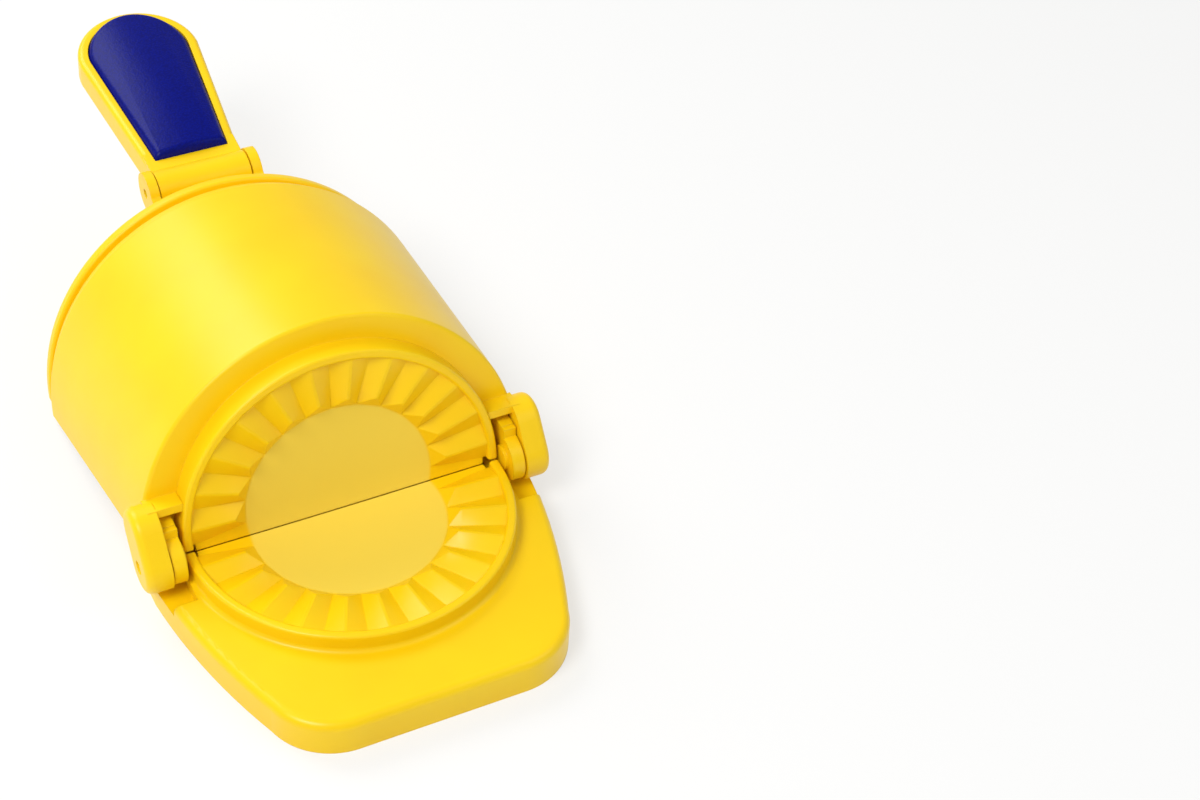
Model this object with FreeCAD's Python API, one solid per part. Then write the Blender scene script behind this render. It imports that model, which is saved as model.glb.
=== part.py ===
# Hand press for filled dough pockets: flat base, hinged rear leaf, half round drum, folding handle.
# Millimetres.  X along the hinges, Y towards the handle, Z up, table at zero,
# origin on the table straight below the middle of the drum hinge.
import FreeCAD, Part
import math
import os
from FreeCAD import Vector

os.makedirs("parts", exist_ok=True)

# general clearances
body_gap = 0.3
pin_play = 0.05
cut_over = 20.0
deep_cut = 40.0
far_reach = 200.0
embed = 1.0
bite = 0.5
half_share = 0.5
same_level = 0.0001
same_point = 0.000001

# drum hinge and mould halves
pivot_z = 18.2
fold_deg = 80.0
ring_gap = 0.2
split_half_gap = 0.15
half_shift = 2.5
ring_in = 48.5
ring_out = 51.5
ring_edge_round = 0.9
floor_r = 30.4
bowl_depth = 6.8
floor_edge_depth = 4.5
valley_depth = 2.4
bowl_bow = 2.2
dish_wall = 2.6

# teeth round each mould half, like hipped roofs whose feet meet in valleys
teeth_per_half = 12
teeth_past_deg = 3.0
tooth_full_r = 34.5
tooth_full_drop = 1.0
tooth_out_drop = 0.4
tooth_crest_half = 0.45
hip_rise = 0.1
hip_share = 0.96

# base
plate_top = 12.0
plate_half = 62.0
front_y = -76.0
front_flat_half = 27.0
front_corner_half = 47.5
front_corner_y = -60.0
front_corner_mid = (40.5, -70.9)
front_side_mid = (57.0, -30.0)
plate_round = 2.6
block_top = 24.0
block_front_y = 13.6
rear_y = 60.0
rear_half = 49.5
block_half = 56.6
block_side_mid = (55.4, 38.0)
block_round = 1.4
recess_r = 52.6
recess_floor = 17.6
rear_bowl_r = 46.0
rear_bowl_bow = 4.4
ring_foot = 1.6
notch_front = -13.5
notch_back = 11.0
notch_inner = 52.7
notch_floor = 8.0
rear_notch_side = 0.5
pocket_wall = 3.2
pocket_top = 8.4
pocket_front_stop = -17.0
pocket_back_start = 20.0
rib_wall = 2.4
rib_x = (0.0, 24.5, 47.0)
rib_y = (-55.0, -36.0, 38.0)

# rear hinge
rear_axis_y = 64.0
rear_axis_z = 22.4
rear_knuckle_r = 7.0
leaf_rear_x = (33.0, 40.0)
base_rear_x = (40.4, 49.0)
rear_clear_y = 56.4
rear_pin_r = 1.5
rear_pin_x = (33.6, 48.4)

# leaf
leaf_bottom = 24.4
leaf_top = 29.4
leaf_half = 56.2
leaf_front_y = 13.6
leaf_round = 1.2
leaf_inset = 0.5
arm_gap = 1.7
arm_wide = 4.2
arm_x = (ring_out + arm_gap, ring_out + arm_gap + arm_wide)
knuckle_r = 8.0
knuckle_boss_r = 4.2
knuckle_boss = 1.0
knuckle_boss_x = arm_x[0] - knuckle_boss
arm_low = 2.0
arm_front_y = 13.2
arm_back_y = 24.0
lip_clear_r = 13.4
lip_clear_half = 49.2

# drum
drum_r = 62.0
drum_far_r = 66.0
drum_depth = 92.0
face_set = 8.2
face_wall = 2.6
drum_wall = 2.8
near_round = 1.2
far_round = 1.6
web_x = 22.0
web_wall = 2.4
web_lift = 0.3
web_short = 1.0
web_end = drum_depth - web_short
ear_inset = 4.2
ear_proud = 4.0
ear_x = (drum_r - ear_inset, drum_r + ear_proud)
ear_r = 8.8
ear_high = 9.0
ear_back = 4.2
ear_high_r = 8.3
ear_round = 2.4
arm_slot_high = 14.0
ledge_high = (14.4, 17.0)
ledge_x = (49.6, 60.4)
ledge_front = 1.4
boss_r = 4.4
boss_len = 22.0
boss_start = drum_depth - boss_len
boss_drop = (38.0, 20.0)
boss_high = (drum_far_r - boss_drop[0], drum_far_r - boss_drop[1])
boss_hole_r = 1.45

# pins of the drum hinge
mid_pin_r = 1.5
mid_pin_inset = 0.8
mid_pin_x = (arm_x[0] + mid_pin_inset, ear_x[1] - mid_pin_inset)
mid_blind_x = arm_x[0] + mid_pin_inset - body_gap
pin_mouth_r = 2.3
pin_mouth_deep = 0.8

# back cover
cover_flange_in = 1.4
cover_flange_r = drum_far_r - cover_flange_in
cover_flange = 2.4
cover_neck_in = 5.4
cover_neck_r = drum_far_r - cover_neck_in
cover_lip_in = 1.8
cover_lip_r = drum_far_r - cover_lip_in
cover_lip = 5.2
cover_lip_round = 1.0
cover_step = 12.0
cover_back = drum_depth + cover_step
cover_round = 2.6
cover_wall = 2.5

# handle hinge and handle
hinge_step = 23.5
hinge_back = drum_depth + hinge_step
hinge_drop = 8.5
hinge_high = drum_far_r - hinge_drop
barrel_r = 6.5
barrel_half = 15.6
clevis_x = (16.0, 19.2)
clevis_r = 7.0
clevis_root_drop = (20.5, 3.0)
clevis_root = (hinge_high - clevis_root_drop[0], hinge_high - clevis_root_drop[1])
handle_pin_r = 1.6
handle_pin_half = 18.6
handle_rise_deg = 7.3
handle_len = 82.0
handle_root = 8.5
handle_half = 20.8
handle_low = -6.6
handle_high = 4.4
handle_round = 2.2
handle_top_round = 1.9
handle_root_len = 13.0
handle_floor = 1.0
handle_skin = 2.4
heel_reach = 11.0
heel_half = 9.0
heel_thick = 3.6
pad_near = 9.0
pad_near_half = 12.5
pad_half = 17.3
pad_crown = 7.8
pad_edge = 5.0
pad_round = 1.3
pad_gap = 0.1
post_r = 2.4
post_s = (24.0, 58.0)
post_deep = 2.0
rim_rib = 2.2
under_near = 15.1
under_inset = 4.4

# screws that hold the cover
screw_r = 1.7
screw_play = 0.1
screw_tip_r = 1.4
screw_len = 14.0
screw_head_r = 3.5
screw_head_high = 2.3
screw_slot = 0.9
screw_slot_deep = 1.2

X_AXIS = Vector(1, 0, 0)
Z_AXIS = Vector(0, 0, 1)
pivot = Vector(0, 0, pivot_z)


def box(x0, x1, y0, y1, z0, z1):
    return Part.makeBox(x1 - x0, y1 - y0, z1 - z0, Vector(x0, y0, z0))


def rod(x0, x1, radius, y, z):
    return Part.makeCylinder(radius, x1 - x0, Vector(x0, y, z), X_AXIS)


def both(shape):
    # the same piece on the left and on the right
    return shape.fuse(shape.mirror(Vector(0, 0, 0), X_AXIS))


def path(points):
    # closed face in the XZ plane, or XY when flat; a point with four numbers ends an arc
    edges = []
    last = None
    for p in points + [points[0]]:
        end = p[-1]
        if last is not None and (end - last).Length > same_point:
            if len(p) == 2:
                edges.append(Part.Arc(last, p[0], end).toShape())
            else:
                edges.append(Part.makeLine(last, end))
        last = end
    return Part.Face(Part.Wire(edges))


def rz(radius, height):
    return Vector(radius, 0, height)


def xy(x, y):
    return Vector(x, y, 0)


def turn(points, centre_y, sweep):
    face = path(points)
    solid = face.revolve(Vector(0, 0, 0), Z_AXIS, sweep)
    solid.translate(Vector(0, centre_y, 0))
    return solid


def mirrored_outline(points):
    # right side from front to back, then the left side back again
    ends = [p[-1] for p in points]
    back = []
    for i in range(len(points) - 1, -1, -1):
        flip = Vector(-ends[i].x, ends[i].y, ends[i].z)
        if i + 1 < len(points) and len(points[i + 1]) == 2:
            mid = points[i + 1][0]
            back.append((Vector(-mid.x, mid.y, mid.z), flip))
        else:
            back.append((flip,))
    return path(points + back)


def slab(outline, low, high):
    solid = outline.extrude(Vector(0, 0, high - low))
    solid.translate(Vector(0, 0, low))
    return solid


def round_edges(solid, radius, level):
    # round every edge lying at one height
    found = []
    for e in solid.Edges:
        b = e.BoundBox
        if abs(b.ZMin - level) < same_level and abs(b.ZMax - level) < same_level:
            found.append(e)
    return solid.makeFillet(radius, found)


def far_box(y0, y1):
    return box(-far_reach, far_reach, y0, y1, -far_reach, far_reach)


def valley_level(radius):
    share = (radius - floor_r) / (ring_in - floor_r)
    return -ring_gap - floor_edge_depth + share * (floor_edge_depth - valley_depth)


def tooth_section(radius, crest_half, crest_z):
    # the flanks meet those of the next teeth in the valley and carry on below the face of the dish
    valley = valley_level(radius)
    foot_z = valley - embed
    meet = valley_half(radius)
    foot_half = crest_half + (meet - crest_half) * (crest_z - foot_z) / (crest_z - valley)
    pts = [Vector(radius, -foot_half, foot_z), Vector(radius, -crest_half, crest_z),
           Vector(radius, crest_half, crest_z), Vector(radius, foot_half, foot_z)]
    return Part.makePolygon(pts + [pts[0]])


def tooth_pitch():
    return (180.0 + teeth_past_deg + teeth_past_deg) / teeth_per_half


def valley_half(radius):
    return radius * math.tan(math.radians(tooth_pitch() * half_share))


def tooth():
    out_r = ring_in + embed
    a = tooth_section(floor_r, valley_half(floor_r) * hip_share, valley_level(floor_r) + hip_rise)
    b = tooth_section(tooth_full_r, tooth_crest_half, -ring_gap - tooth_full_drop)
    c = tooth_section(out_r, tooth_crest_half, -ring_gap - tooth_out_drop)
    return Part.makeLoft([a, b, c], True, True)


def teeth(side, first, last, region):
    # side is 1 for a half at positive Y and -1 for a half at negative Y
    made = []
    for i in range(first, last):
        one = tooth()
        one.rotate(Vector(0, 0, 0), Z_AXIS, side * (tooth_pitch() * (i + half_share) - teeth_past_deg))
        one.translate(Vector(0, side * half_shift, 0))
        made.append(one.common(region))
    return made


def bowl_points(drop):
    # inside line of the dish from the middle out to the ring
    top = -ring_gap - drop
    mid = rz(floor_r * half_share, top - bowl_depth + bowl_bow * half_share * half_share)
    return [(rz(0, top - bowl_depth),),
            (mid, rz(floor_r, top - floor_edge_depth)),
            (rz(ring_in, top - valley_depth),)]


def ring_points(foot):
    top = -ring_gap
    e = ring_edge_round
    s = e * (1 - math.sqrt(half_share))
    return [(rz(ring_in, top - e),),
            (rz(ring_in + s, top - s), rz(ring_in + e, top)),
            (rz(ring_out - e, top),),
            (rz(ring_out - s, top - s), rz(ring_out, top - e)),
            (rz(ring_out, foot),)]


def dish(side):
    # one mould half round the hinge line, facing up, before it is trimmed at the split
    back = -face_set - face_wall
    under = list(reversed(bowl_points(dish_wall)))
    pts = bowl_points(0) + ring_points(back) + [(rz(ring_in, back),), (under[0][-1],), (under[1][-1],),
                                                (under[1][0], under[2][-1])]
    return turn(pts, side * half_shift, 360)


def lip_plane(side, gap):
    # everything on the dish side of the plane that halves the angle between two open mould halves
    b = far_box(0, far_reach)
    b.translate(Vector(0, gap, 0))
    b.rotate(Vector(0, 0, 0), X_AXIS, -fold_deg * half_share)
    if side < 0:
        b = b.mirror(Vector(0, 0, 0), Vector(0, 1, 0))
    return b


def half_region(side, gap):
    # one mould half: its own side of the split, and below it as far as the lip plane
    if side > 0:
        own = far_box(split_half_gap, far_reach)
    else:
        own = far_box(-far_reach, -split_half_gap)
    inner = Part.makeCylinder(ring_in - embed, deep_cut, Vector(0, side * half_shift, -cut_over), Z_AXIS)
    return own.fuse(inner.common(lip_plane(side, gap)))


def in_rest(shape):
    # swing a drum part, drawn face up beside the hinge, into its raised place
    s = shape.copy()
    s.rotate(Vector(0, 0, 0), X_AXIS, fold_deg)
    s.translate(pivot)
    return s


def save(shape, node):
    s = shape.removeSplitter() if len(shape.Solids) == 1 else shape
    s.exportStep("parts/" + node + ".step")


# base: front plate, rear block, ring, bowl, teeth, rear knuckles
def base_part():
    side = [(xy(0, front_y),), (xy(front_flat_half, front_y),),
            (xy(front_corner_mid[0], front_corner_mid[1]), xy(front_corner_half, front_corner_y)),
            (xy(front_side_mid[0], front_side_mid[1]), xy(plate_half, 0)),
            (xy(plate_half, notch_back),), (xy(block_half, notch_back),),
            (xy(block_side_mid[0], block_side_mid[1]), xy(rear_half, rear_y)), (xy(0, rear_y),)]
    outline = mirrored_outline(side)
    plate = round_edges(slab(outline, 0, plate_top), plate_round, plate_top)
    rear = outline.common(far_box(block_front_y, rear_y + cut_over)).Faces[0]
    block = round_edges(slab(rear, 0, block_top), block_round, block_top)
    solid = plate.fuse(block)

    neck = box(base_rear_x[0], base_rear_x[1], rear_y - plate_top, rear_axis_y,
               rear_axis_z - rear_knuckle_r, block_top)
    knuckle = rod(base_rear_x[0], base_rear_x[1], rear_knuckle_r, rear_axis_y, rear_axis_z)
    solid = solid.fuse(both(neck.fuse(knuckle)))

    # ring wall of the front half, with a small foot where it meets the plate
    foot = plate_top - pivot_z
    bend = ring_foot * (1 - math.sqrt(half_share))
    raised = turn([(rz(0, foot - embed),)] + bowl_points(0) + ring_points(foot + ring_foot)
                  + [(rz(ring_out + bend, foot + bend), rz(ring_out + ring_foot, foot)),
                     (rz(ring_out + ring_foot, foot - embed),)], -half_shift, 360)
    raised = raised.common(half_region(-1, 0))
    raised.translate(pivot)
    solid = solid.fuse(raised)

    # dish hollow of the front half, carried on behind the split as far as the lip of the drum
    hollow = turn(bowl_points(0) + [(rz(ring_in, cut_over),), (rz(0, cut_over),)], -half_shift, 360)
    hollow = hollow.common(lip_plane(-1, 0))
    hollow.translate(pivot)
    solid = solid.cut(hollow)
    lip_room = rod(-lip_clear_half, lip_clear_half, lip_clear_r, 0, 0).cut(lip_plane(-1, body_gap))
    lip_room.translate(pivot)
    solid = solid.cut(lip_room)

    # round recess and smooth bowl under the leaf
    recess = Part.makeCylinder(recess_r, cut_over, Vector(0, half_shift, recess_floor), Z_AXIS)
    solid = solid.cut(recess.common(far_box(block_front_y - embed, rear_y + cut_over)))
    low = pivot_z - ring_gap - bowl_depth
    mid = Vector(rear_bowl_r * half_share, 0, (low + recess_floor) * half_share - rear_bowl_bow * half_share)
    rear_bowl = turn([(rz(0, low),), (mid, rz(rear_bowl_r, recess_floor)), (rz(rear_bowl_r, block_top),),
                      (rz(0, block_top),)], half_shift, 360)
    solid = solid.cut(rear_bowl.common(far_box(block_front_y - embed, rear_y + cut_over)))

    # room for the knuckles of the drum hinge and of the rear hinge
    side_notch = box(notch_inner, plate_half + cut_over, notch_front, notch_back, notch_floor, pivot_z)
    rear_notch = box(leaf_rear_x[0] - rear_notch_side, base_rear_x[0], rear_clear_y, rear_y + cut_over,
                     -embed, leaf_top)
    solid = solid.cut(both(side_notch.fuse(rear_notch)))

    # hollow underside with ribs, left solid under the hinge line
    inner = outline.makeOffset2D(-pocket_wall)
    pocket = slab(inner, -embed, pocket_top)
    keep = box(-plate_half, plate_half, pocket_front_stop, pocket_back_start, -embed, pocket_top)
    w = rib_wall * half_share
    ribs = [both(box(x - w, x + w, front_y, rear_y, -embed, pocket_top)) for x in rib_x]
    ribs += [box(-plate_half, plate_half, y - w, y + w, -embed, pocket_top) for y in rib_y]
    pocket = pocket.cut([keep] + ribs)
    pocket = pocket.cut(both(box(leaf_rear_x[0] - pocket_wall, base_rear_x[0] + pocket_wall,
                                 rear_clear_y - pocket_wall, rear_y, -embed, pocket_top)))
    solid = solid.cut(pocket)

    row = teeth(-1, 0, teeth_per_half, half_region(-1, body_gap))
    for t in row:
        t.translate(pivot)
    solid = solid.fuse(row)
    holes = both(rod(rear_pin_x[0] - cut_over, base_rear_x[1] + embed, rear_pin_r + pin_play,
                     rear_axis_y, rear_axis_z))
    return solid.cut(holes)


# leaf over the rear half, dish side down, with knuckles for both hinges
def leaf_part():
    side = [(xy(0, leaf_front_y),), (xy(leaf_half, leaf_front_y),),
            (xy(block_side_mid[0] - leaf_inset, block_side_mid[1]), xy(rear_half - leaf_inset, rear_clear_y)),
            (xy(leaf_rear_x[1], rear_clear_y),), (xy(leaf_rear_x[1], rear_y),), (xy(0, rear_y),)]
    outline = mirrored_outline(side)
    plate = round_edges(slab(outline, leaf_bottom, leaf_top), leaf_round, leaf_top)
    plate.translate(Vector(0, 0, -pivot_z))

    # the dish is drawn face up and turned over, then cut off behind the drum's swing
    back = leaf_top - pivot_z
    cup = turn([(rz(0, -back),)] + bowl_points(0) + ring_points(-back), half_shift, 360)
    room = turn(bowl_points(0) + [(rz(ring_in, cut_over),), (rz(0, cut_over),)], half_shift, 360)
    behind = far_box(leaf_front_y, rear_y + cut_over)
    row = teeth(1, 1, teeth_per_half - 1, behind)
    flip = Vector(0, 0, 1)
    cup = cup.mirror(Vector(0, 0, 0), flip)
    room = room.mirror(Vector(0, 0, 0), flip)
    row = [t.mirror(Vector(0, 0, 0), flip) for t in row]
    solid = plate.fuse(cup.common(behind)).cut(room).fuse(row)

    high = leaf_top - pivot_z
    arm = box(arm_x[0], arm_x[1], 0, arm_front_y, arm_low, high)
    arm = arm.fuse(box(arm_x[0], arm_x[1], arm_low, arm_back_y, leaf_bottom - pivot_z, high))
    arm = arm.common(rod(arm_x[0], arm_x[1], high, 0, 0).fuse(
        box(arm_x[0], arm_x[1], arm_low, arm_back_y, -arm_low, high)))
    knuckle = rod(arm_x[0], arm_x[1], knuckle_r, 0, 0)
    button = rod(knuckle_boss_x, arm_x[0], knuckle_boss_r, 0, 0)
    solid = solid.fuse(both(arm.fuse(knuckle).fuse(button)))
    solid = solid.cut(both(rod(mid_blind_x, arm_x[1] + embed, mid_pin_r + pin_play, 0, 0)))

    y = rear_axis_y
    z = rear_axis_z - pivot_z
    neck = box(leaf_rear_x[0], leaf_rear_x[1], rear_clear_y + body_gap, y, z, leaf_top - pivot_z)
    solid = solid.fuse(both(neck.fuse(rod(leaf_rear_x[0], leaf_rear_x[1], rear_knuckle_r, y, z))))
    solid = solid.cut(both(rod(leaf_rear_x[0] - embed, leaf_rear_x[1] + embed, rear_pin_r + pin_play, y, z)))
    solid.translate(pivot)
    return solid


# drum: half round shell with a closed dish face, ears, webs and screw bosses
def drum_part():
    w0 = -face_set
    w1 = -drum_depth
    n = near_round * (1 - math.sqrt(half_share))
    f = far_round * (1 - math.sqrt(half_share))
    slope = (drum_far_r - drum_r) / drum_depth
    inner_near = drum_r - drum_wall
    inner_far = drum_far_r - drum_wall
    skin = [(rz(ring_in + embed, w0),), (rz(drum_r - near_round, w0),),
            (rz(drum_r - n, w0 - n), rz(drum_r, w0 - near_round)),
            (rz(drum_far_r, w1 + far_round),), (rz(drum_far_r - f, w1 + f), rz(drum_far_r - far_round, w1)),
            (rz(inner_far, w1),), (rz(inner_near, w0 - face_wall),), (rz(ring_in + embed, w0 - face_wall),)]
    shell = turn(skin, 0, 180)
    upper = far_box(split_half_gap, far_reach)
    region = half_region(1, 0)
    face = dish(1).common(region)
    disc = Part.makeCylinder(ring_out - embed, cut_over, Vector(0, half_shift, -cut_over), Z_AXIS)
    solid = shell.common(upper).cut(disc).fuse([face] + teeth(1, 0, teeth_per_half, region))

    # webs under the roof, cut level so that they come down on the leaf
    roof = turn([(rz(0, w0 - face_wall),), (rz(inner_near + embed, w0 - face_wall),),
                 (rz(inner_near + embed + slope * web_end, -web_end),), (rz(0, -web_end),)], 0, 180)
    webs = both(box(web_x, web_x + web_wall, split_half_gap, drum_far_r, -web_end, w0 - face_wall + bite))
    bosses = []
    for high in boss_high:
        c = Vector(web_x + web_wall * half_share, high, -boss_start)
        bosses.append(Part.makeCylinder(boss_r, cover_back - cover_wall - boss_start, c, Vector(0, 0, -1)))
    pads = both(bosses[0].fuse(bosses[1:]))
    webs = webs.common(roof).fuse(pads)
    level = box(-drum_far_r, drum_far_r, -far_reach, far_reach, -far_reach, leaf_top + web_lift - pivot_z)
    level.rotate(Vector(0, 0, 0), X_AXIS, -fold_deg)
    webs = webs.cut(level)
    holes = []
    for high in boss_high:
        c = Vector(web_x + web_wall * half_share, high, -boss_start)
        holes.append(Part.makeCylinder(boss_hole_r, cover_back, c, Vector(0, 0, -1)))
    solid = solid.fuse(webs).cut(both(holes[0].fuse(holes[1:])))

    # ears with a shelf above them
    span = ear_x[1] - ear_x[0]
    low = Part.makeCylinder(ear_r, span, Vector(ear_x[0], 0, 0), X_AXIS)
    high = Part.makeCylinder(ear_high_r, span, Vector(ear_x[0], ear_high, -ear_back), X_AXIS)
    reach = math.hypot(ear_high, ear_back)
    lean = math.atan2(ear_back, ear_high)
    twist = math.asin((ear_r - ear_high_r) / reach)
    link = []
    for s in (1, -1):
        a = math.pi * half_share - twist
        for r, oy, oz in ((ear_r, 0, 0), (ear_high_r, ear_high, -ear_back)):
            d = -lean + s * a
            link.append(Vector(ear_x[0], oy + r * math.cos(d), oz + r * math.sin(d)))
    quad = Part.makePolygon([link[0], link[1], link[3], link[2], link[0]])
    ear = Part.Face(quad).extrude(Vector(span, 0, 0)).fuse([low, high]).removeSplitter()
    rim = []
    for e in ear.Edges:
        b = e.BoundBox
        if abs(b.XMin - ear_x[1]) < same_level and abs(b.XMax - ear_x[1]) < same_level:
            rim.append(e)
    ear = ear.makeFillet(ear_round, rim)
    shelf = box(ledge_x[0], ledge_x[1], ledge_high[0], ledge_high[1], -face_set - bite, -ledge_front)
    slot = box(arm_x[0] - body_gap, ear_x[0], -embed, arm_slot_high, -cut_over, w0 + embed)
    solid = solid.cut(both(slot)).fuse(both(ear.fuse(shelf)))
    bore = rod(ear_x[0] - embed, ear_x[1] + embed, mid_pin_r + pin_play, 0, 0)
    mouth = rod(ear_x[1] - pin_mouth_deep, ear_x[1] + embed, pin_mouth_r, 0, 0)
    return in_rest(solid.cut(both(bore.fuse(mouth))))


# cover on the back of the drum: flange, neck, lip and the fork of the handle hinge
def cover_part():
    w = -cover_back
    c = cover_round * (1 - math.sqrt(half_share))
    n = cover_lip_round * (1 - math.sqrt(half_share))
    front = w + cover_lip
    inner_r = cover_neck_r - cover_wall
    outer = [(rz(0, w),), (rz(cover_lip_r - cover_round, w),),
             (rz(cover_lip_r - c, w + c), rz(cover_lip_r, w + cover_round)),
             (rz(cover_lip_r, front - cover_lip_round),),
             (rz(cover_lip_r - n, front - n), rz(cover_lip_r - cover_lip_round, front)),
             (rz(cover_neck_r, front),)]
    seat = -drum_depth - cover_flange
    flange = [(rz(cover_neck_r, seat),), (rz(cover_flange_r, seat),), (rz(cover_flange_r, -drum_depth),)]
    cap = turn(outer + flange + [(rz(inner_r, -drum_depth),), (rz(inner_r, w + cover_wall),),
                                 (rz(0, w + cover_wall),)], 0, 180)
    full = turn(outer + [(rz(cover_neck_r, -drum_depth),), (rz(0, -drum_depth),)], 0, 180)
    cap = cap.common(far_box(0, far_reach)).fuse(full.common(far_box(0, cover_wall)))

    wide = clevis_x[1] - clevis_x[0]
    fork = Part.makeCylinder(clevis_r, wide, Vector(clevis_x[0], hinge_high, -hinge_back), X_AXIS)
    root = -cover_back + embed
    dip = clevis_r * half_share
    out = clevis_r * math.sqrt(1 - half_share * half_share)
    tang = [Vector(clevis_x[0], clevis_root[0], root), Vector(clevis_x[0], clevis_root[1], root),
            Vector(clevis_x[0], hinge_high + clevis_r, -hinge_back),
            Vector(clevis_x[0], hinge_high, -hinge_back - clevis_r),
            Vector(clevis_x[0], hinge_high - dip, -hinge_back - out)]
    web = Part.Face(Part.makePolygon(tang + [tang[0]])).extrude(Vector(wide, 0, 0))
    cap = cap.fuse(both(fork.fuse(web)))

    # stop in front of the heel of the handle
    stop = box(-heel_half, heel_half, hinge_high - heel_reach, hinge_high - barrel_r - body_gap,
               -hinge_back + heel_thick * half_share + body_gap, -cover_back + embed)
    cap = cap.fuse(stop)
    end = clevis_x[1] + embed
    cap = cap.cut(rod(-end, end, handle_pin_r + pin_play, hinge_high, -hinge_back))
    for high in boss_high:
        start = Vector(web_x + web_wall * half_share, high, w - embed)
        hole = Part.makeCylinder(screw_r + screw_play, cut_over, start, Z_AXIS)
        cap = cap.cut(both(hole))
    return in_rest(cap)


def hinge_point():
    lean = math.radians(90.0 - fold_deg)
    y = hinge_back * math.cos(lean) + hinge_high * math.sin(lean)
    z = pivot_z - hinge_back * math.sin(lean) + hinge_high * math.cos(lean)
    return Vector(0, y, z)


def on_hinge(shape):
    # a handle part, drawn level from the hinge axis, tipped up and set in the fork
    s = shape.copy()
    s.rotate(Vector(0, 0, 0), X_AXIS, handle_rise_deg)
    s.translate(hinge_point())
    return s


def paddle_outline(near, near_half, wide_half, tip):
    centre = tip - wide_half
    slant = wide_half * math.sqrt(half_share)
    return mirrored_outline([(xy(0, near),), (xy(near_half, near),), (xy(wide_half, centre),),
                             (xy(slant, centre + slant), xy(0, tip))])


# handle: barrel, paddle with a raised rim, ribbed underside, heel
def handle_part():
    paddle = slab(paddle_outline(handle_root, barrel_half, handle_half, handle_len), handle_low, handle_high)
    paddle = round_edges(paddle, handle_round, handle_low)
    paddle = round_edges(paddle, handle_top_round, handle_high)
    root = box(-barrel_half, barrel_half, 0, handle_root_len, handle_low, handle_high)
    barrel = rod(-barrel_half, barrel_half, barrel_r, 0, 0)
    thick = heel_thick * half_share
    heel = box(-heel_half, heel_half, -thick, thick, -heel_reach, 0)
    tip = math.radians(90.0 - fold_deg + handle_rise_deg)
    heel.rotate(Vector(0, 0, 0), X_AXIS, -math.degrees(tip))
    solid = paddle.fuse([root, barrel, heel])
    grip = paddle_outline(pad_near, pad_near_half, pad_half, handle_len - handle_half + pad_half)
    solid = solid.cut(slab(grip, handle_floor, handle_high + cut_over))
    under = paddle_outline(under_near, barrel_half - under_inset, handle_half - under_inset,
                           handle_len - under_inset)
    under = slab(under, handle_low - embed, handle_floor - handle_skin)
    spine = box(-rim_rib * half_share, rim_rib * half_share, 0, handle_len, handle_low, handle_floor)
    solid = solid.cut(under.cut(spine))
    for s in post_s:
        hole = Vector(0, s, handle_floor - post_deep)
        solid = solid.cut(Part.makeCylinder(post_r + pad_gap, cut_over, hole, Z_AXIS))
    solid = solid.cut(rod(-barrel_half - embed, barrel_half + embed, handle_pin_r + pin_play, 0, 0))
    return on_hinge(solid)


# soft pad set into the handle, crowned across its width
def pad_part():
    g = pad_gap
    tip = handle_len - handle_half + pad_half
    grip = paddle_outline(pad_near + g, pad_near_half - g, pad_half - g, tip - g)
    solid = slab(grip, handle_floor, pad_crown + embed)
    drop = pad_crown - pad_edge
    arch = (pad_half * pad_half + drop * drop) / (drop + drop)
    start = Vector(0, -embed, pad_crown - arch)
    crown = Part.makeCylinder(arch, handle_len + cut_over, start, Vector(0, 1, 0))
    solid = solid.common(crown)
    rim = []
    for e in solid.Edges:
        b = e.BoundBox
        if b.ZMin > pad_edge - embed and b.YLength + b.XLength > embed:
            rim.append(e)
    solid = solid.makeFillet(pad_round, rim)
    posts = []
    for s in post_s:
        posts.append(Part.makeCylinder(post_r, post_deep, Vector(0, s, handle_floor - post_deep), Z_AXIS))
    return on_hinge(solid.fuse(posts))


def pin(x0, x1, radius, y, z):
    body = rod(x0, x1, radius, y, z)
    ends = [e for e in body.Edges if e.BoundBox.XLength < same_level]
    return body.makeChamfer(radius * half_share * half_share, ends)


# one screw through the cover into a boss, drawn along the drum's axis
def screw(x, high):
    top = -cover_back
    head = Part.makeCylinder(screw_head_r, screw_head_high, Vector(x, high, top - screw_head_high), Z_AXIS)
    rim = [e for e in head.Edges if abs(e.BoundBox.ZMax - top + screw_head_high) < same_level]
    head = head.makeFillet(screw_head_high * half_share, rim)
    neck = Part.makeCylinder(screw_r, cover_wall, Vector(x, high, top), Z_AXIS)
    shank = Part.makeCylinder(screw_tip_r, screw_len, Vector(x, high, top), Z_AXIS)
    reach = screw_head_r * half_share
    wide = screw_slot * half_share
    slots = []
    for turn_deg in (0, 90):
        s = box(-reach, reach, -wide, wide, top - screw_head_high - embed,
                top - screw_head_high + screw_slot_deep)
        s.rotate(Vector(0, 0, 0), Z_AXIS, turn_deg)
        s.translate(Vector(x, high, 0))
        slots.append(s)
    return head.fuse([neck, shank]).cut(slots[0].fuse(slots[1]))


def screws_part():
    made = []
    for side in (-1, 1):
        for high in boss_high:
            made.append(in_rest(screw(side * (web_x + web_wall * half_share), high)))
    return Part.makeCompound(made)


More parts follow.
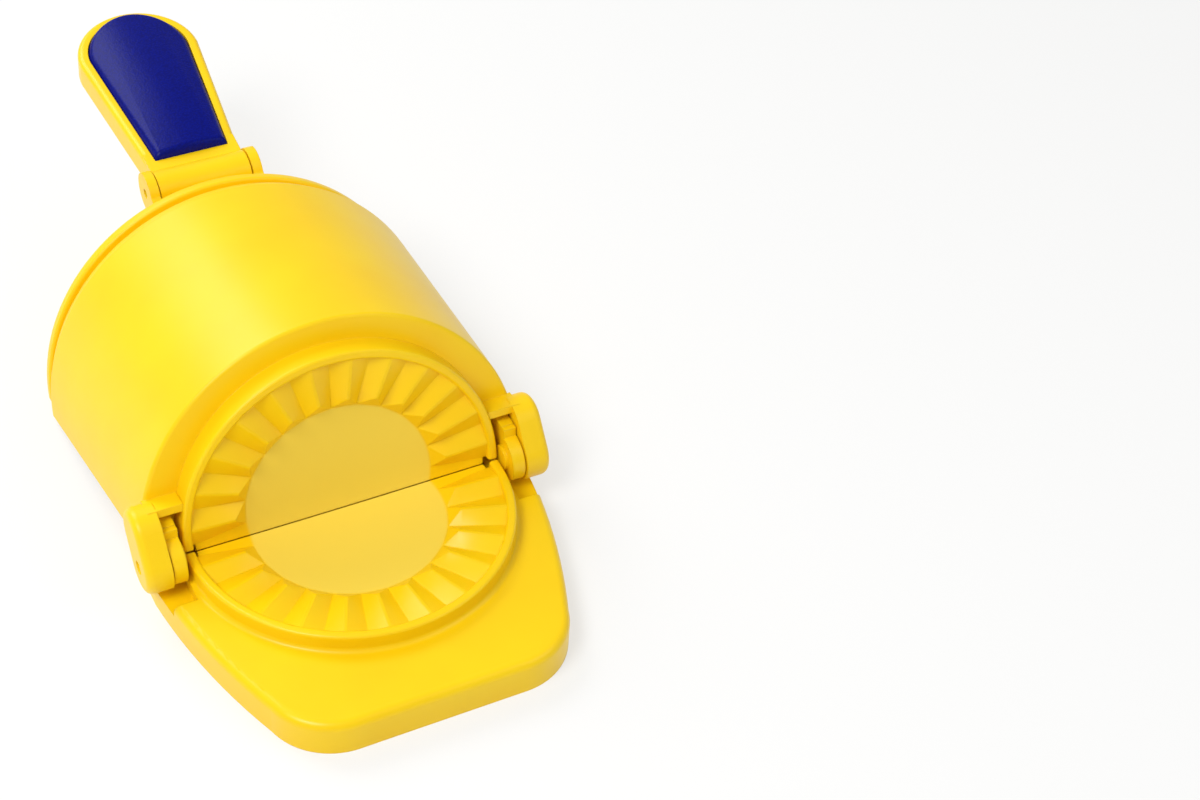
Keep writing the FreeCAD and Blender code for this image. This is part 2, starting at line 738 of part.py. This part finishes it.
save(base_part(), "base")
save(leaf_part(), "rear_leaf")
save(drum_part(), "drum_shell")
save(cover_part(), "back_cover")
save(handle_part(), "handle_frame")
save(pad_part(), "grip_pad")
save(pin(-mid_pin_x[1], -mid_pin_x[0], mid_pin_r, 0, pivot_z), "mid_pin_left")
save(pin(mid_pin_x[0], mid_pin_x[1], mid_pin_r, 0, pivot_z), "mid_pin_right")
save(pin(-rear_pin_x[1], -rear_pin_x[0], rear_pin_r, rear_axis_y, rear_axis_z), "rear_pin_left")
save(pin(rear_pin_x[0], rear_pin_x[1], rear_pin_r, rear_axis_y, rear_axis_z), "rear_pin_right")
hinge = hinge_point()
save(pin(-handle_pin_half, handle_pin_half, handle_pin_r, hinge.y, hinge.z), "handle_pin")
save(screws_part(), "cover_screws")
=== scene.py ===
# Hand press for filled dough pockets: finishes, grip pad, studio and camera.
# Metres, in the frame of the solids.
import math

import bmesh
import bpy
from mathutils import Matrix, Vector


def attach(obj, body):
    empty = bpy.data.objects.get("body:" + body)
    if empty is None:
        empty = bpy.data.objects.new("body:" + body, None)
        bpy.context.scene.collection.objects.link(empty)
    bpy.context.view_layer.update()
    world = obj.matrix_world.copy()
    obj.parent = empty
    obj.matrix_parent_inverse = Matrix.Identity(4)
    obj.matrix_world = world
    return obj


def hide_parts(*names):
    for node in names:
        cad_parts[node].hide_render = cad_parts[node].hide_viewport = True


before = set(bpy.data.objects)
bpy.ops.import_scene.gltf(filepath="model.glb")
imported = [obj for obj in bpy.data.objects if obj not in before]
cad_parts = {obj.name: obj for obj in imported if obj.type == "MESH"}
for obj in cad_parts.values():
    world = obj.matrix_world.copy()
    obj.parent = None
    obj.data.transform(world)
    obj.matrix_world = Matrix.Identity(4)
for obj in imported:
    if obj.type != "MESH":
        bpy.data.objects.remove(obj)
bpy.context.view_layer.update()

MM = 0.001

# places taken over from the solids
DRUM_HINGE = Vector((0.0, 0.0, 18.2)) * MM
FOLD = math.radians(80.0)
HALF_SHIFT = 2.5 * MM
FLOOR_RADIUS = 30.4 * MM
HANDLE_HINGE = Vector((0.0, 123.73, 54.77)) * MM
HANDLE_RISE = math.radians(7.3)

# the matt floor of a dish, by distance from the dish's axis and by height from its centre;
# each pair runs from where the matt begins to where it is full
FLOOR_RIM = (FLOOR_RADIUS + 0.4 * MM, FLOOR_RADIUS - 0.6 * MM)
FLOOR_TOP = (-4.0 * MM, -4.6 * MM)
FLOOR_BOTTOM = (-9.0 * MM, -8.5 * MM)
FLOOR_ROUGH = 0.55
# the grit of the matt floor counts this many times as much as the grain of the moulding
GRIT_GAIN = 8.0

# pattern sizes in millimetres
CLOUD_MM = 26.0
SPECK_MM = 4.0
GRIT_MM = 0.5
STIR_MM = 3.0
CELL_MM = 0.7
PORE_MM = 0.35
PATCH_MM = 1.6

# the part of a noise's range that a colour or roughness is spread over
NOISE_LOW = 0.3
NOISE_HIGH = 0.7

# the two kinds of moulded surface: roughness, then size and depth of the grain in millimetres
GLOSSY = {"roughness": 0.31, "grain_mm": 0.8, "grain_depth_mm": 0.0015}
SATIN = {"roughness": 0.36, "grain_mm": 0.45, "grain_depth_mm": 0.002}
# how far the roughness wanders below and above that value
ROUGH_LESS = 0.015
ROUGH_MORE = 0.02

# rubber: where a cell begins to fall away from its middle and where it reaches the crease, as
# shares of its size; then the share of the fine pores in the height, and the roughness
CELL_FALL = (0.1, 0.7)
PORE_SHARE = 0.35
RUBBER_ROUGH = (0.32, 0.40)

# softened edges of the mouldings, wander of the rubber's cells, depth of the two reliefs
EDGE_RADIUS = 0.5 * MM
CELL_DRIFT = 0.6 * MM
LEATHER_DEPTH = 0.035 * MM
BRUSH_DEPTH = 0.01 * MM

# studio floor: size in metres, and share of plain white where it is seen directly or mirrored
STUDIO_FLOOR_SIZE = 6.0
GLOW_SHARE = 0.6


# Camera, at the photograph's viewing angle
def place_camera():
    data = bpy.data.cameras.new("photo_camera")
    data.lens = 72.0
    data.sensor_width = 36.0
    data.clip_start = 0.01
    data.clip_end = 50.0
    camera = bpy.data.objects.new("photo_camera", data)
    right = Vector((0.8932, -0.4461, 0.0565))
    up = Vector((0.2683, 0.6296, 0.7291))
    back = Vector((-0.3608, -0.6361, 0.6820))
    turn = Matrix((right, up, back)).transposed().to_quaternion().to_matrix()
    place = DRUM_HINGE + Vector((-187.36, -483.05, 530.11)) * MM
    camera.matrix_world = Matrix.Translation(place) @ turn.to_4x4()
    bpy.context.scene.collection.objects.link(camera)
    bpy.context.scene.camera = camera


# Materials
def paint(text):
    # sRGB hex to linear colour
    linear = []
    for start in (1, 3, 5):
        share = int(text[start:start + 2], 16) / 255
        linear.append(share / 12.92 if share <= 0.04045 else ((share + 0.055) / 1.055) ** 2.4)
    return (*linear, 1.0)


def per_metre(size_mm):
    # pattern scale that gives features of this size
    return 1 / (size_mm * MM)


def add(tree, kind, inputs, **settings):
    # one node with its settings, input values and links
    node = tree.nodes.new("ShaderNode" + kind)
    for name, value in settings.items():
        setattr(node, name, value)
    for name, value in inputs.items():
        if isinstance(value, bpy.types.NodeSocket):
            tree.links.new(value, node.inputs[name])
        else:
            node.inputs[name].default_value = value
    return node


def new_material(name):
    material = bpy.data.materials.new(name)
    material.use_nodes = True
    material.node_tree.nodes.clear()
    return material, material.node_tree


def finish_with(tree, shader):
    add(tree, "OutputMaterial", {"Surface": shader.outputs[0]})


def moulded_abs(name, roughness, grain_mm, grain_depth_mm, dish=None):
    # Injection moulded ABS, dyed through: warm even yellow, a soft clear shine, faint flow
    # clouds from the melt and a very fine texture from the mould; dish floors are blasted matt.
    material, tree = new_material(name)
    place = add(tree, "TexCoord", {}).outputs["Object"]
    cloud = add(tree, "TexNoise", {
        "Vector": place, "Scale": per_metre(CLOUD_MM), "Detail": 2.0, "Roughness": 0.5})
    shade = add(tree, "MapRange", {"Value": cloud.outputs["Fac"], 1: NOISE_LOW, 2: NOISE_HIGH})
    body = add(tree, "Mix", {0: shade.outputs[0], 6: paint("#F8CC08"), 7: paint("#FAD20A")},
               data_type="RGBA")
    tint = body.outputs[2]
    speck = add(tree, "TexNoise", {
        "Vector": place, "Scale": per_metre(SPECK_MM), "Detail": 3.0, "Roughness": 0.6})
    rough = add(tree, "MapRange", {
        "Value": speck.outputs["Fac"], 1: NOISE_LOW, 2: NOISE_HIGH,
        3: roughness - ROUGH_LESS, 4: roughness + ROUGH_MORE})
    rough_out = rough.outputs[0]
    grain = add(tree, "TexNoise", {
        "Vector": place, "Scale": per_metre(grain_mm), "Detail": 2.0, "Roughness": 0.5})
    height = grain.outputs["Fac"]
    depth = grain_depth_mm * MM
    if dish:
        centre, tilt = dish
        local = add(tree, "Mapping", {"Vector": place, "Location": centre, "Rotation": (tilt, 0, 0)},
                    vector_type="TEXTURE").outputs[0]
        flat = add(tree, "VectorMath", {0: local, 1: (1, 1, 0)}, operation="MULTIPLY")
        span = add(tree, "VectorMath", {0: flat.outputs[0]}, operation="LENGTH").outputs["Value"]
        inside = add(tree, "MapRange", {"Value": span, 1: FLOOR_RIM[0], 2: FLOOR_RIM[1]})
        level = add(tree, "SeparateXYZ", {0: local}).outputs["Z"]
        low = add(tree, "MapRange", {"Value": level, 1: FLOOR_TOP[0], 2: FLOOR_TOP[1]})
        high = add(tree, "MapRange", {"Value": level, 1: FLOOR_BOTTOM[0], 2: FLOOR_BOTTOM[1]})
        sides = add(tree, "Math", {0: inside.outputs[0], 1: low.outputs[0]}, operation="MULTIPLY")
        floor = add(tree, "Math", {0: sides.outputs[0], 1: high.outputs[0]}, operation="MULTIPLY").outputs[0]
        matt = add(tree, "Mix", {0: floor, 6: tint, 7: paint("#F4D850")}, data_type="RGBA")
        tint = matt.outputs[2]
        dull = add(tree, "Mix", {0: floor, 2: rough_out, 3: FLOOR_ROUGH})
        rough_out = dull.outputs[0]
        # blasting grit, drawn coarser than it is so that it shows
        grit = add(tree, "TexNoise", {
            "Vector": place, "Scale": per_metre(GRIT_MM), "Detail": 3.0, "Roughness": 0.7})
        pits = add(tree, "Math", {0: grit.outputs["Fac"], 1: floor}, operation="MULTIPLY")
        height = add(tree, "Math", {0: pits.outputs[0], 1: GRIT_GAIN, 2: height},
                     operation="MULTIPLY_ADD").outputs[0]
    soft_edge = add(tree, "Bevel", {"Radius": EDGE_RADIUS}, samples=4)
    bump = add(tree, "Bump", {"Strength": 1.0, "Distance": depth, "Height": height,
                              "Normal": soft_edge.outputs[0]})
    shader = add(tree, "BsdfPrincipled", {
        "Base Color": tint, "Roughness": rough_out, "Normal": bump.outputs[0], "IOR": 1.38})
    finish_with(tree, shader)
    return material


def soft_touch_rubber(name):
    # Soft-touch thermoplastic rubber, moulded against a leather-grained tool: deep navy, a low broad sheen,
    # fine pebbled cells with creases between them. The cell tops are painted lighter as a painted sheen and
    # the creases darker as painted shade.
    material, tree = new_material(name)
    place = add(tree, "TexCoord", {}).outputs["Object"]
    stir = add(tree, "TexNoise", {"Vector": place, "Scale": per_metre(STIR_MM), "Detail": 2.0})
    drift = add(tree, "VectorMath", {0: stir.outputs["Color"], 1: (CELL_DRIFT,) * 3, 2: place},
                operation="MULTIPLY_ADD")
    cells = add(tree, "TexVoronoi", {
        "Vector": drift.outputs[0], "Scale": per_metre(CELL_MM), "Smoothness": 0.5}, feature="SMOOTH_F1")
    fine = add(tree, "TexNoise", {
        "Vector": place, "Scale": per_metre(PORE_MM), "Detail": 3.0, "Roughness": 0.6})
    # 1 in a cell's middle and 0 in its crease: it raises the bump and also sets the painted shade and painted
    # sheen below
    cell_rise_and_painted_shade = add(tree, "MapRange", {
        "Value": cells.outputs["Distance"], 1: CELL_FALL[0], 2: CELL_FALL[1], 3: 1.0, 4: 0.0})
    height = add(tree, "Math", {0: fine.outputs["Fac"], 1: PORE_SHARE, 2: cell_rise_and_painted_shade.outputs[0]},
                 operation="MULTIPLY_ADD")
    # painted shade and painted sheen: the creases are painted a darker navy and the cell tops a lighter one
    tint = add(tree, "Mix", {0: cell_rise_and_painted_shade.outputs[0], 6: paint("#00086A"), 7: paint("#000F80")},
               data_type="RGBA")
    rough = add(tree, "MapRange", {
        "Value": fine.outputs["Fac"], 1: NOISE_LOW, 2: NOISE_HIGH,
        3: RUBBER_ROUGH[0], 4: RUBBER_ROUGH[1]})
    bump = add(tree, "Bump", {"Strength": 0.8, "Distance": LEATHER_DEPTH, "Height": height.outputs[0]})
    shader = add(tree, "BsdfPrincipled", {
        "Base Color": tint.outputs[2], "Roughness": rough.outputs[0], "Normal": bump.outputs[0], "IOR": 1.22})
    finish_with(tree, shader)
    return material


def steel(name, light, dark, rough_low, rough_high, brush_mm, stretch):
    # Plain carbon steel wire or zinced screw steel: grey metal, drawn or turned lines one way,
    # a few duller patches of handling.
    material, tree = new_material(name)
    place = add(tree, "TexCoord", {}).outputs["Object"]
    along = add(tree, "Mapping", {"Vector": place, "Scale": stretch})
    lines = add(tree, "TexNoise", {"Vector": along.outputs[0], "Scale": per_metre(brush_mm), "Detail": 3.0})
    patch = add(tree, "TexNoise", {"Vector": place, "Scale": per_metre(PATCH_MM), "Detail": 2.0})
    tint = add(tree, "Mix", {0: patch.outputs["Fac"], 6: paint(dark), 7: paint(light)}, data_type="RGBA")
    rough = add(tree, "MapRange", {
        "Value": patch.outputs["Fac"], 1: NOISE_LOW, 2: NOISE_HIGH, 3: rough_low, 4: rough_high})
    bump = add(tree, "Bump", {"Strength": 0.5, "Distance": BRUSH_DEPTH, "Height": lines.outputs["Fac"]})
    shader = add(tree, "BsdfPrincipled", {
        "Base Color": tint.outputs[2], "Metallic": 1.0, "Roughness": rough.outputs[0],
        "Normal": bump.outputs[0]})
    finish_with(tree, shader)
    return material


def dress(node, material):
    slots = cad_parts[node].data.materials
    slots.clear()
    slots.append(material)


base_dish = (DRUM_HINGE - Vector((0, HALF_SHIFT, 0)), 0.0)
drum_dish = (DRUM_HINGE + HALF_SHIFT * Vector((0, math.cos(FOLD), math.sin(FOLD))), FOLD)
leaf_dish = (DRUM_HINGE + Vector((0, HALF_SHIFT, 0)), math.pi)
dress("base", moulded_abs("abs_gloss_base", **GLOSSY, dish=base_dish))
dress("rear_leaf", moulded_abs("abs_gloss_leaf", **GLOSSY, dish=leaf_dish))
dress("drum_shell", moulded_abs("abs_satin_drum", **SATIN, dish=drum_dish))
dress("back_cover", moulded_abs("abs_satin_cover", **SATIN))
dress("handle_frame", moulded_abs("abs_gloss_handle", **GLOSSY))
pin_steel = steel("drawn_steel_pin", light="#77716A", dark="#4E4944", rough_low=0.32, rough_high=0.45,
                  brush_mm=0.15, stretch=(0.05, 1, 1))
for name in ("mid_pin_left", "mid_pin_right", "rear_pin_left", "rear_pin_right", "handle_pin"):
    dress(name, pin_steel)
screw_steel = steel("zinced_screw_steel", light="#C4C6C8", dark="#9A9C9F", rough_low=0.25, rough_high=0.4,
                    brush_mm=0.12, stretch=(1, 1, 1))
dress("cover_screws", screw_steel)


# Grip pad
def link_piece(name, mesh, body, material):
    data = bpy.data.meshes.new(name)
    mesh.to_mesh(data)
    mesh.free()
    piece = bpy.data.objects.new(name, data)
    bpy.context.scene.collection.objects.link(piece)
    data.materials.append(material)
    for face in data.polygons:
        face.use_smooth = True
    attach(piece, body)
    return piece


def grip_pad():
    # straight near end, straight sides that spread, half round tip; crowned across its width
    near, near_half = 9.1 * MM, 12.4 * MM
    half, centre = 17.2 * MM, 61.2 * MM
    floor, wall, rounding = 1.0 * MM, 5.0 * MM, 2.2 * MM
    crown = 2.7 * MM
    tip_steps, round_steps, strips_each_side = 32, 6, 7
    long_edge, side_step, strip = 10 * MM, 2.2 * MM, 2.1 * MM
    same_level = 0.01 * MM
    mesh = bmesh.new()
    start = mesh.verts.new((half, centre, floor))
    bmesh.ops.spin(mesh, geom=[start], cent=(0, centre, 0), axis=(0, 0, 1), angle=math.pi,
                   steps=tip_steps)
    ends = [max(mesh.verts, key=lambda v: v.co.x), min(mesh.verts, key=lambda v: v.co.x)]
    corners = []
    for side, end in ((1, ends[0]), (-1, ends[1])):
        made = bmesh.ops.extrude_vert_indiv(mesh, verts=[end])["verts"][0]
        made.co = (side * near_half, near, floor)
        corners.append(made)
    mesh.edges.new(corners)
    for edge in [e for e in mesh.edges if e.calc_length() > long_edge]:
        cuts = round(edge.calc_length() / side_step)
        bmesh.ops.subdivide_edges(mesh, edges=[edge], cuts=cuts)
    face = bmesh.ops.contextual_create(mesh, geom=mesh.edges[:])["faces"][0]
    raised = bmesh.ops.extrude_face_region(mesh, geom=[face])["geom"]
    top = [g for g in raised if isinstance(g, bmesh.types.BMFace)][0]
    bmesh.ops.translate(mesh, verts=top.verts, vec=(0, 0, wall - rounding - floor))
    for i in range(round_steps):
        low, high = (math.pi / 2 * k / round_steps for k in (i, i + 1))
        inward = rounding * (math.cos(low) - math.cos(high))
        rise = rounding * (math.sin(high) - math.sin(low))
        bmesh.ops.inset_region(mesh, faces=[top], thickness=inward, use_even_offset=True)
        bmesh.ops.translate(mesh, verts=top.verts, vec=(0, 0, rise))
    # strips along the pad, so that the crown bends evenly across it
    for i in range(-strips_each_side, strips_each_side + 1):
        flat = [f for f in mesh.faces if min(v.co.z for v in f.verts) > wall - same_level]
        geom = flat + list({e for f in flat for e in f.edges}) + list({v for f in flat for v in f.verts})
        bmesh.ops.bisect_plane(mesh, geom=geom, dist=same_level, plane_co=(i * strip, 0, 0),
                               plane_no=(1, 0, 0))
    for v in mesh.verts:
        share = (v.co.z - floor) / (wall - floor)
        v.co.z += share * crown * (1 - (v.co.x / half) ** 2)
    bmesh.ops.recalc_face_normals(mesh, faces=mesh.faces)
    bmesh.ops.rotate(mesh, verts=mesh.verts, cent=(0, 0, 0), matrix=Matrix.Rotation(HANDLE_RISE, 3, "X"))
    bmesh.ops.translate(mesh, verts=mesh.verts, vec=HANDLE_HINGE)
    rubber = soft_touch_rubber("soft_touch_rubber_navy")
    piece = link_piece("grip_pad_moulded", mesh, "handle", rubber)
    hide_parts("grip_pad")


grip_pad()


# Studio
def studio():
    mesh = bmesh.new()
    bmesh.ops.create_grid(mesh, x_segments=1, y_segments=1, size=STUDIO_FLOOR_SIZE)
    data = bpy.data.meshes.new("studio_floor")
    mesh.to_mesh(data)
    mesh.free()
    ground = bpy.data.objects.new("studio_floor", data)
    bpy.context.scene.collection.objects.link(ground)
    # matt white board: keeps the soft shadow, and seen straight on it is nearly pure white
    material, tree = new_material("matt_white_board")
    rays = add(tree, "LightPath", {})
    board = add(tree, "BsdfPrincipled", {"Base Color": paint("#F0F0EE"), "Roughness": 0.9, "IOR": 1.1})
    glow = add(tree, "Emission", {"Color": (1, 1, 1, 1), "Strength": 1.0})
    seen = add(tree, "Math", {0: rays.outputs["Is Camera Ray"], 1: rays.outputs["Is Glossy Ray"]},
               operation="MAXIMUM")
    seen = add(tree, "Math", {0: seen.outputs[0], 1: rays.outputs["Is Transmission Ray"]},
               operation="MAXIMUM")
    share = add(tree, "Math", {0: seen.outputs[0], 1: GLOW_SHARE}, operation="MULTIPLY")
    mix = add(tree, "MixShader", {0: share.outputs[0], 1: board.outputs[0], 2: glow.outputs[0]})
    finish_with(tree, mix)
    data.materials.append(material)

    world = bpy.data.worlds.new("studio_world")
    world.use_nodes = True
    tree = world.node_tree
    tree.nodes.clear()
    sky = add(tree, "Background", {"Color": (1, 1, 1, 1), "Strength": 0.42})
    add(tree, "OutputWorld", {"Surface": sky.outputs[0]})
    bpy.context.scene.world = world


def softbox(name, place, target, size, power):
    data = bpy.data.lights.new(name, "AREA")
    data.shape = "RECTANGLE"
    data.size, data.size_y = size
    data.energy = power
    lamp = bpy.data.objects.new(name, data)
    aim = (Vector(target) - Vector(place)).to_track_quat("-Z", "Y")
    lamp.matrix_world = Matrix.Translation(place) @ aim.to_matrix().to_4x4()
    bpy.context.scene.collection.objects.link(lamp)


place_camera()
studio()
softbox("softbox_key", place=(-0.52, -0.27, 0.84), target=(0, 0.03, 0.03), size=(0.4, 0.4), power=5.6)
softbox("softbox_back", place=(-0.3, 0.75, 0.75), target=(0, 0.05, 0.05), size=(0.6, 0.6), power=5.4)
softbox("softbox_fill", place=(0.6, -0.5, 0.7), target=(0, 0.03, 0.03), size=(0.6, 0.6), power=1.5)
bpy.context.scene.view_settings.view_transform = "Standard"
